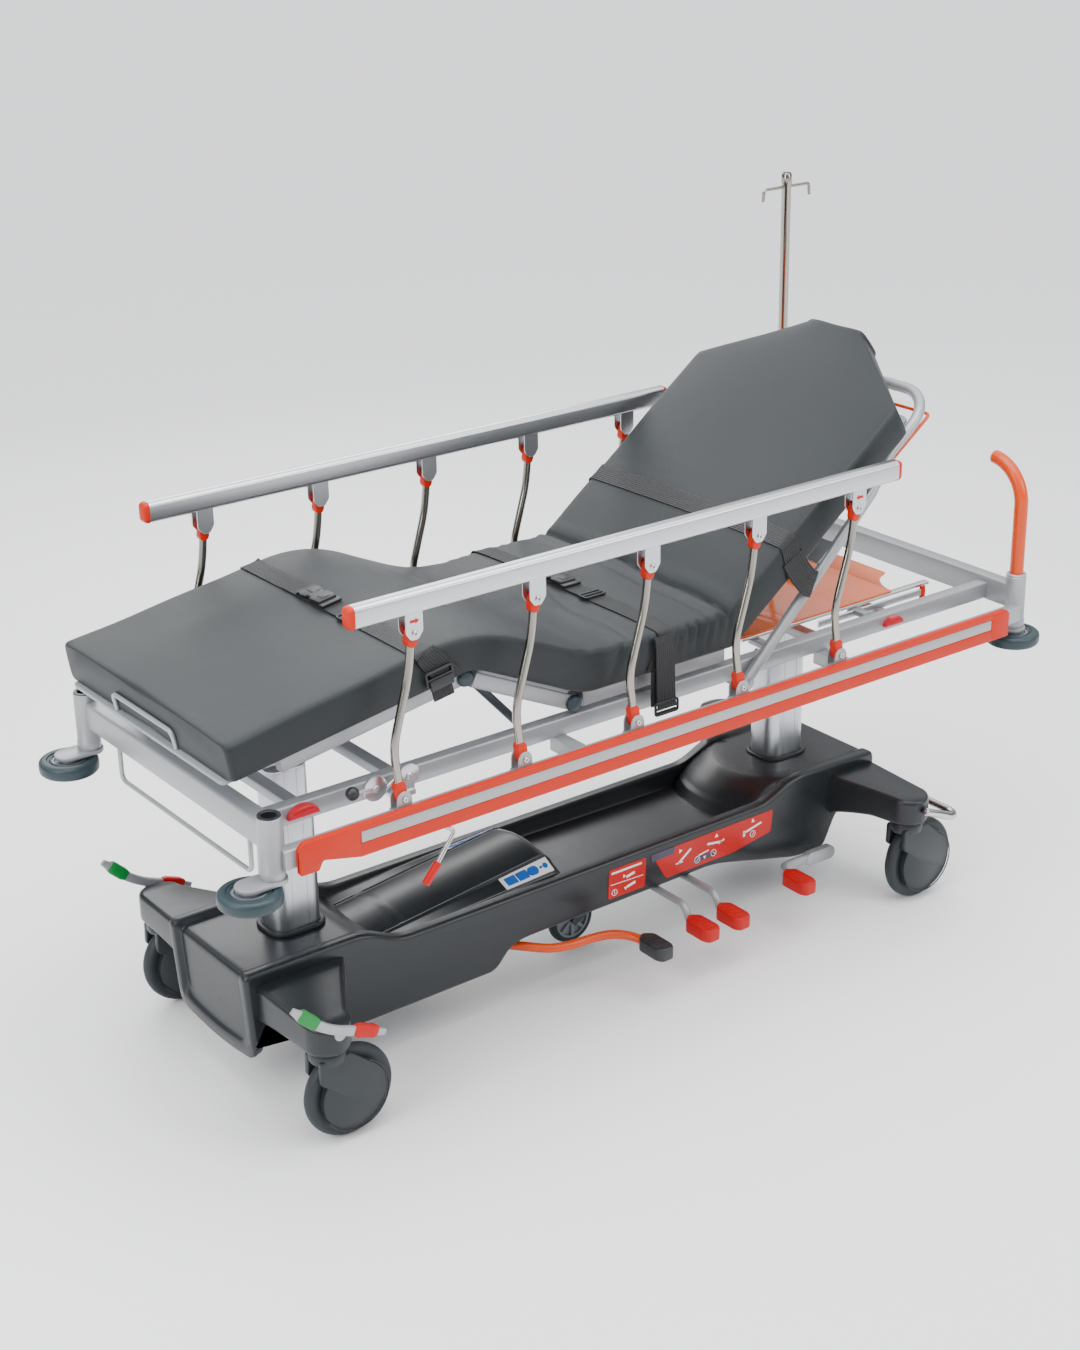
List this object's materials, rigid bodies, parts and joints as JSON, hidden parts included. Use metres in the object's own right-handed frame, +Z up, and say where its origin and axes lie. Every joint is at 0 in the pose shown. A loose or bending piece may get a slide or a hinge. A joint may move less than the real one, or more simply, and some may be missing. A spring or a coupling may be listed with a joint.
{
  "type": "stretcher trolley",
  "caption": "Wheeled patient stretcher on two lift columns, with a backrest and knee section that raise, folding side guards, corner bumpers and foot pedals.",
  "frame": {"origin": "on the floor, under the middle of the whole object's box", "axes": "+X towards the head end, +Y towards the far side, +Z up"},
  "size_m": [2.178, 0.87, 1.6],
  "materials": {
    "black_plastic": "satin black moulded plastic",
    "steel_dark": "dark grey paint",
    "silver_paint": "satin silver-grey powder coat",
    "aluminium": "satin anodised",
    "stainless": "polished stainless",
    "chrome": "bright",
    "orange_plastic": "satin orange-red plastic",
    "orange_paint": "gloss orange coating",
    "orange_acrylic": "clear orange acrylic",
    "red_plastic": "moulded red plastic",
    "grey_rubber": "grey moulded rubber",
    "caster_grey": "dark grey moulded plastic",
    "vinyl": "charcoal coated mattress fabric"
  },
  "bodies": {
    "base": {"base_cover": "black_plastic", "chassis": "steel_dark", "pump_unit": "steel_dark", "oxygen_cradle": "black_plastic"},
    "caster_foot_near_fork": {"caster_foot_near_fork": "caster_grey"},
    "caster_foot_near_wheel": {"caster_foot_near_wheel": "caster_grey"},
    "caster_foot_far_fork": {"caster_foot_far_fork": "caster_grey"},
    "caster_foot_far_wheel": {"caster_foot_far_wheel": "caster_grey"},
    "caster_head_near_fork": {"caster_head_near_fork": "caster_grey"},
    "caster_head_near_wheel": {"caster_head_near_wheel": "caster_grey"},
    "caster_head_far_fork": {"caster_head_far_fork": "caster_grey"},
    "caster_head_far_wheel": {"caster_head_far_wheel": "caster_grey"},
    "brake_pedals": {"foot_brake_pedal_near": "silver_paint", "foot_brake_pedal_far": "silver_paint"},
    "head_brake_bar": {"head_brake_bar": "chrome"},
    "fifth_wheel_pedal": {"fifth_wheel_pedal": "orange_paint"},
    "fifth_wheel_arm": {"fifth_wheel_arm": "steel_dark"},
    "fifth_wheel": {"fifth_wheel": "caster_grey"},
    "release_pedal_foot": {"release_pedal_foot": "red_plastic"},
    "release_pedal_head": {"release_pedal_head": "red_plastic"},
    "pump_pedal": {"pump_pedal": "red_plastic"},
    "foot_column_middle": {"foot_column_middle": "aluminium"},
    "foot_column_top": {"foot_column_top": "aluminium"},
    "head_column_middle": {"head_column_middle": "aluminium"},
    "head_column_top": {"head_column_top": "aluminium"},
    "upper_frame": {"upper_frame": "silver_paint", "side_strip_near": "orange_plastic", "side_strip_far": "orange_plastic", "seat_deck": "silver_paint", "seat_mattress": "vinyl"},
    "bumper_foot_near": {"bumper_foot_near": "grey_rubber"},
    "bumper_foot_far": {"bumper_foot_far": "grey_rubber"},
    "bumper_head_near": {"bumper_head_near": "grey_rubber"},
    "bumper_head_far": {"bumper_head_far": "grey_rubber"},
    "push_handle_near": {"push_handle_near": "orange_paint"},
    "push_handle_far": {"push_handle_far": "orange_paint"},
    "iv_pole": {"iv_pole": "stainless"},
    "shelf_tray": {"shelf_tray": "orange_acrylic"},
    "guard_post_near_1": {"guard_post_near_1": "stainless"},
    "guard_post_near_2": {"guard_post_near_2": "stainless"},
    "guard_post_near_3": {"guard_post_near_3": "stainless"},
    "guard_post_near_4": {"guard_post_near_4": "stainless"},
    "guard_post_near_5": {"guard_post_near_5": "stainless"},
    "guard_rail_near": {"guard_rail_near": "aluminium"},
    "guard_latch_near": {"guard_latch_near": "black_plastic"},
    "guard_post_far_1": {"guard_post_far_1": "stainless"},
    "guard_post_far_2": {"guard_post_far_2": "stainless"},
    "guard_post_far_3": {"guard_post_far_3": "stainless"},
    "guard_post_far_4": {"guard_post_far_4": "stainless"},
    "guard_post_far_5": {"guard_post_far_5": "stainless"},
    "guard_rail_far": {"guard_rail_far": "aluminium"},
    "guard_latch_far": {"guard_latch_far": "black_plastic"},
    "thigh": {"thigh_frame": "silver_paint", "thigh_mattress": "vinyl"},
    "leg": {"leg_frame": "silver_paint", "leg_mattress": "vinyl"},
    "knee_strut": {"knee_strut": "steel_dark"},
    "backrest": {"back_frame": "silver_paint", "back_mattress": "vinyl"},
    "backrest_release_bar": {"backrest_release_bar": "orange_paint"}
  },
  "joints": [
    {"name": "caster_foot_near_swivel", "type": "hinge", "parent": "base", "child": "caster_foot_near_fork", "pos_m": [-0.862, -0.335, 0.23], "axis": [0, 0, 1], "continuous": true},
    {"name": "caster_foot_near_roll", "type": "hinge", "parent": "caster_foot_near_fork", "child": "caster_foot_near_wheel", "pos_m": [-0.82, -0.335, 0.1], "axis": [0, 1, 0], "continuous": true},
    {"name": "caster_foot_far_swivel", "type": "hinge", "parent": "base", "child": "caster_foot_far_fork", "pos_m": [-0.862, 0.335, 0.23], "axis": [0, 0, 1], "continuous": true},
    {"name": "caster_foot_far_roll", "type": "hinge", "parent": "caster_foot_far_fork", "child": "caster_foot_far_wheel", "pos_m": [-0.82, 0.335, 0.1], "axis": [0, 1, 0], "continuous": true},
    {"name": "caster_head_near_swivel", "type": "hinge", "parent": "base", "child": "caster_head_near_fork", "pos_m": [0.742, -0.335, 0.23], "axis": [0, 0, 1], "continuous": true},
    {"name": "caster_head_near_roll", "type": "hinge", "parent": "caster_head_near_fork", "child": "caster_head_near_wheel", "pos_m": [0.784, -0.335, 0.1], "axis": [0, 1, 0], "continuous": true},
    {"name": "caster_head_far_swivel", "type": "hinge", "parent": "base", "child": "caster_head_far_fork", "pos_m": [0.742, 0.335, 0.23], "axis": [0, 0, 1], "continuous": true},
    {"name": "caster_head_far_roll", "type": "hinge", "parent": "caster_head_far_fork", "child": "caster_head_far_wheel", "pos_m": [0.784, 0.335, 0.1], "axis": [0, 1, 0], "continuous": true},
    {"name": "brake", "type": "hinge", "parent": "base", "child": "brake_pedals", "pos_m": [-0.862, 0, 0.265], "axis": [0, 1, 0], "range_deg": [-12, 8.5]},
    {"name": "head_brake", "type": "hinge", "parent": "base", "child": "head_brake_bar", "pos_m": [0.742, 0, 0.252], "axis": [0, 1, 0], "range_deg": [-12, 8.5]},
    {"name": "fifth_wheel_pedal_press", "type": "hinge", "parent": "base", "child": "fifth_wheel_pedal", "pos_m": [-0.3, -0.06, 0.136], "axis": [1, 0, 0], "range_deg": [-8, 0]},
    {"name": "fifth_wheel_lift", "type": "hinge", "parent": "base", "child": "fifth_wheel_arm", "pos_m": [0.15, 0, 0.15], "axis": [0, 1, 0], "range_deg": [0, 14]},
    {"name": "fifth_wheel_roll", "type": "hinge", "parent": "fifth_wheel_arm", "child": "fifth_wheel", "pos_m": [-0.003, 0, 0.061], "axis": [0, 1, 0], "continuous": true},
    {"name": "release_pedal_foot_press", "type": "hinge", "parent": "base", "child": "release_pedal_foot", "pos_m": [0.135, -0.07, 0.15], "axis": [1, 0, 0], "range_deg": [0, 8], "stiffness_Nm_per_rad": 20, "springref_deg": -11.46},
    {"name": "release_pedal_head_press", "type": "hinge", "parent": "base", "child": "release_pedal_head", "pos_m": [0.225, -0.07, 0.15], "axis": [1, 0, 0], "range_deg": [0, 8], "stiffness_Nm_per_rad": 20, "springref_deg": -11.46},
    {"name": "pump_stroke", "type": "hinge", "parent": "base", "child": "pump_pedal", "pos_m": [0.62, -0.2, 0.112], "axis": [0, 1, 0], "range_deg": [-18, 0], "stiffness_Nm_per_rad": 20, "springref_deg": 11.46},
    {"name": "lift", "type": "slide", "parent": "base", "child": "foot_column_middle", "axis": [0, 0, 1], "range_m": [-0.05, 0.1]},
    {"name": "foot_column_extend", "type": "slide", "parent": "foot_column_middle", "child": "foot_column_top", "axis": [0, 0, 1], "range_m": [-0.05, 0.1]},
    {"name": "tilt", "type": "hinge", "parent": "foot_column_top", "child": "upper_frame", "pos_m": [-0.735, 0, 0.7], "axis": [0, 1, 0], "range_deg": [-10, 8]},
    {"name": "head_column_follow", "type": "slide", "parent": "foot_column_middle", "child": "head_column_middle", "axis": [0, 0, 1], "range_m": [-0.1, 0.125]},
    {"name": "head_column_extend", "type": "slide", "parent": "foot_column_top", "child": "head_column_top", "axis": [0, 0, 1], "range_m": [-0.195, 0.245]},
    {"name": "bumper_foot_near_spin", "type": "hinge", "parent": "upper_frame", "child": "bumper_foot_near", "pos_m": [-1.0265, -0.3725, 0.615], "axis": [0, 0, 1], "continuous": true},
    {"name": "bumper_foot_far_spin", "type": "hinge", "parent": "upper_frame", "child": "bumper_foot_far", "pos_m": [-1.0265, 0.3725, 0.615], "axis": [0, 0, 1], "continuous": true},
    {"name": "bumper_head_near_spin", "type": "hinge", "parent": "upper_frame", "child": "bumper_head_near", "pos_m": [1.0265, -0.3725, 0.615], "axis": [0, 0, 1], "continuous": true},
    {"name": "bumper_head_far_spin", "type": "hinge", "parent": "upper_frame", "child": "bumper_head_far", "pos_m": [1.0265, 0.3725, 0.615], "axis": [0, 0, 1], "continuous": true},
    {"name": "push_handle_near_turn", "type": "hinge", "parent": "upper_frame", "child": "push_handle_near", "pos_m": [1.0265, -0.3725, 0.765], "axis": [0, 0, 1], "range_deg": [-90, 0]},
    {"name": "push_handle_far_turn", "type": "hinge", "parent": "upper_frame", "child": "push_handle_far", "pos_m": [1.0265, 0.3725, 0.765], "axis": [0, 0, 1], "range_deg": [0, 90]},
    {"name": "iv_pole_lift", "type": "slide", "parent": "upper_frame", "child": "iv_pole", "axis": [0, 0, 1], "range_m": [0, 0.08]},
    {"name": "shelf_slide", "type": "slide", "parent": "upper_frame", "child": "shelf_tray", "axis": [1, 0, 0], "range_m": [0, 0.1]},
    {"name": "guard_near_fold", "type": "hinge", "parent": "upper_frame", "child": "guard_post_near_1", "pos_m": [-0.7, -0.39, 0.726], "axis": [0, 1, 0], "range_deg": [0, 76]},
    {"name": "guard_near_post_2", "type": "hinge", "parent": "upper_frame", "child": "guard_post_near_2", "pos_m": [-0.4155, -0.39, 0.726], "axis": [0, 1, 0], "range_deg": [0, 76]},
    {"name": "guard_near_post_3", "type": "hinge", "parent": "upper_frame", "child": "guard_post_near_3", "pos_m": [-0.131, -0.39, 0.726], "axis": [0, 1, 0], "range_deg": [0, 76]},
    {"name": "guard_near_post_4", "type": "hinge", "parent": "upper_frame", "child": "guard_post_near_4", "pos_m": [0.1535, -0.39, 0.726], "axis": [0, 1, 0], "range_deg": [0, 76]},
    {"name": "guard_near_post_5", "type": "hinge", "parent": "upper_frame", "child": "guard_post_near_5", "pos_m": [0.438, -0.39, 0.726], "axis": [0, 1, 0], "range_deg": [0, 76]},
    {"name": "guard_near_rail", "type": "hinge", "parent": "guard_post_near_1", "child": "guard_rail_near", "pos_m": [-0.6625, -0.39, 1.054], "axis": [0, 1, 0], "range_deg": [-76, 0]},
    {"name": "guard_near_latch_turn", "type": "hinge", "parent": "upper_frame", "child": "guard_latch_near", "pos_m": [-0.735, -0.355, 0.742], "axis": [0, 1, 0], "range_deg": [0, 30]},
    {"name": "guard_far_fold", "type": "hinge", "parent": "upper_frame", "child": "guard_post_far_1", "pos_m": [-0.7, 0.39, 0.726], "axis": [0, 1, 0], "range_deg": [0, 76]},
    {"name": "guard_far_post_2", "type": "hinge", "parent": "upper_frame", "child": "guard_post_far_2", "pos_m": [-0.4155, 0.39, 0.726], "axis": [0, 1, 0], "range_deg": [0, 76]},
    {"name": "guard_far_post_3", "type": "hinge", "parent": "upper_frame", "child": "guard_post_far_3", "pos_m": [-0.131, 0.39, 0.726], "axis": [0, 1, 0], "range_deg": [0, 76]},
    {"name": "guard_far_post_4", "type": "hinge", "parent": "upper_frame", "child": "guard_post_far_4", "pos_m": [0.1535, 0.39, 0.726], "axis": [0, 1, 0], "range_deg": [0, 76]},
    {"name": "guard_far_post_5", "type": "hinge", "parent": "upper_frame", "child": "guard_post_far_5", "pos_m": [0.438, 0.39, 0.726], "axis": [0, 1, 0], "range_deg": [0, 76]},
    {"name": "guard_far_rail", "type": "hinge", "parent": "guard_post_far_1", "child": "guard_rail_far", "pos_m": [-0.6625, 0.39, 1.054], "axis": [0, 1, 0], "range_deg": [-76, 0]},
    {"name": "guard_far_latch_turn", "type": "hinge", "parent": "upper_frame", "child": "guard_latch_far", "pos_m": [-0.735, 0.355, 0.742], "axis": [0, 1, 0], "range_deg": [0, 30]},
    {"name": "knee_raise", "type": "hinge", "parent": "upper_frame", "child": "thigh", "pos_m": [-0.215, 0, 0.757], "axis": [0, 1, 0], "range_deg": [-25.4, 10]},
    {"name": "leg_follow", "type": "hinge", "parent": "thigh", "child": "leg", "pos_m": [-0.48148, 0, 0.88354], "axis": [0, 1, 0], "range_deg": [-14, 34.5]},
    {"name": "knee_strut_fold", "type": "hinge", "parent": "thigh", "child": "knee_strut", "pos_m": [-0.44535, 0, 0.86638], "axis": [0, 1, 0], "range_deg": [-15, 6]},
    {"name": "backrest_raise", "type": "hinge", "parent": "upper_frame", "child": "backrest", "pos_m": [0.235, 0, 0.69], "axis": [0, 1, 0], "range_deg": [-35, 37]},
    {"name": "backrest_release", "type": "hinge", "parent": "backrest", "child": "backrest_release_bar", "pos_m": [0.59427, 0, 1.01082], "axis": [0, 1, 0], "range_deg": [-6, 0], "stiffness_Nm_per_rad": 6, "springref_deg": 17.19}
  ],
  "couplings": [
    {"joint": "head_brake", "follows": "brake", "ratio": 1},
    {"joint": "fifth_wheel_lift", "follows": "fifth_wheel_pedal_press", "ratio": -1.75},
    {"joint": "foot_column_extend", "follows": "lift", "ratio": 1},
    {"joint": "head_column_follow", "follows": "tilt", "m_per_rad": -0.6825},
    {"joint": "head_column_extend", "follows": "tilt", "m_per_rad": -1.365},
    {"joint": "guard_near_post_2", "follows": "guard_near_fold", "ratio": 1},
    {"joint": "guard_near_post_3", "follows": "guard_near_fold", "ratio": 1},
    {"joint": "guard_near_post_4", "follows": "guard_near_fold", "ratio": 1},
    {"joint": "guard_near_post_5", "follows": "guard_near_fold", "ratio": 1},
    {"joint": "guard_near_rail", "follows": "guard_near_fold", "ratio": -1},
    {"joint": "guard_far_post_2", "follows": "guard_far_fold", "ratio": 1},
    {"joint": "guard_far_post_3", "follows": "guard_far_fold", "ratio": 1},
    {"joint": "guard_far_post_4", "follows": "guard_far_fold", "ratio": 1},
    {"joint": "guard_far_post_5", "follows": "guard_far_fold", "ratio": 1},
    {"joint": "guard_far_rail", "follows": "guard_far_fold", "ratio": -1},
    {"joint": "leg_follow", "follows": "knee_raise", "ratio": -1.3543},
    {"joint": "knee_strut_fold", "follows": "knee_raise", "ratio": 0.575}
  ]
}
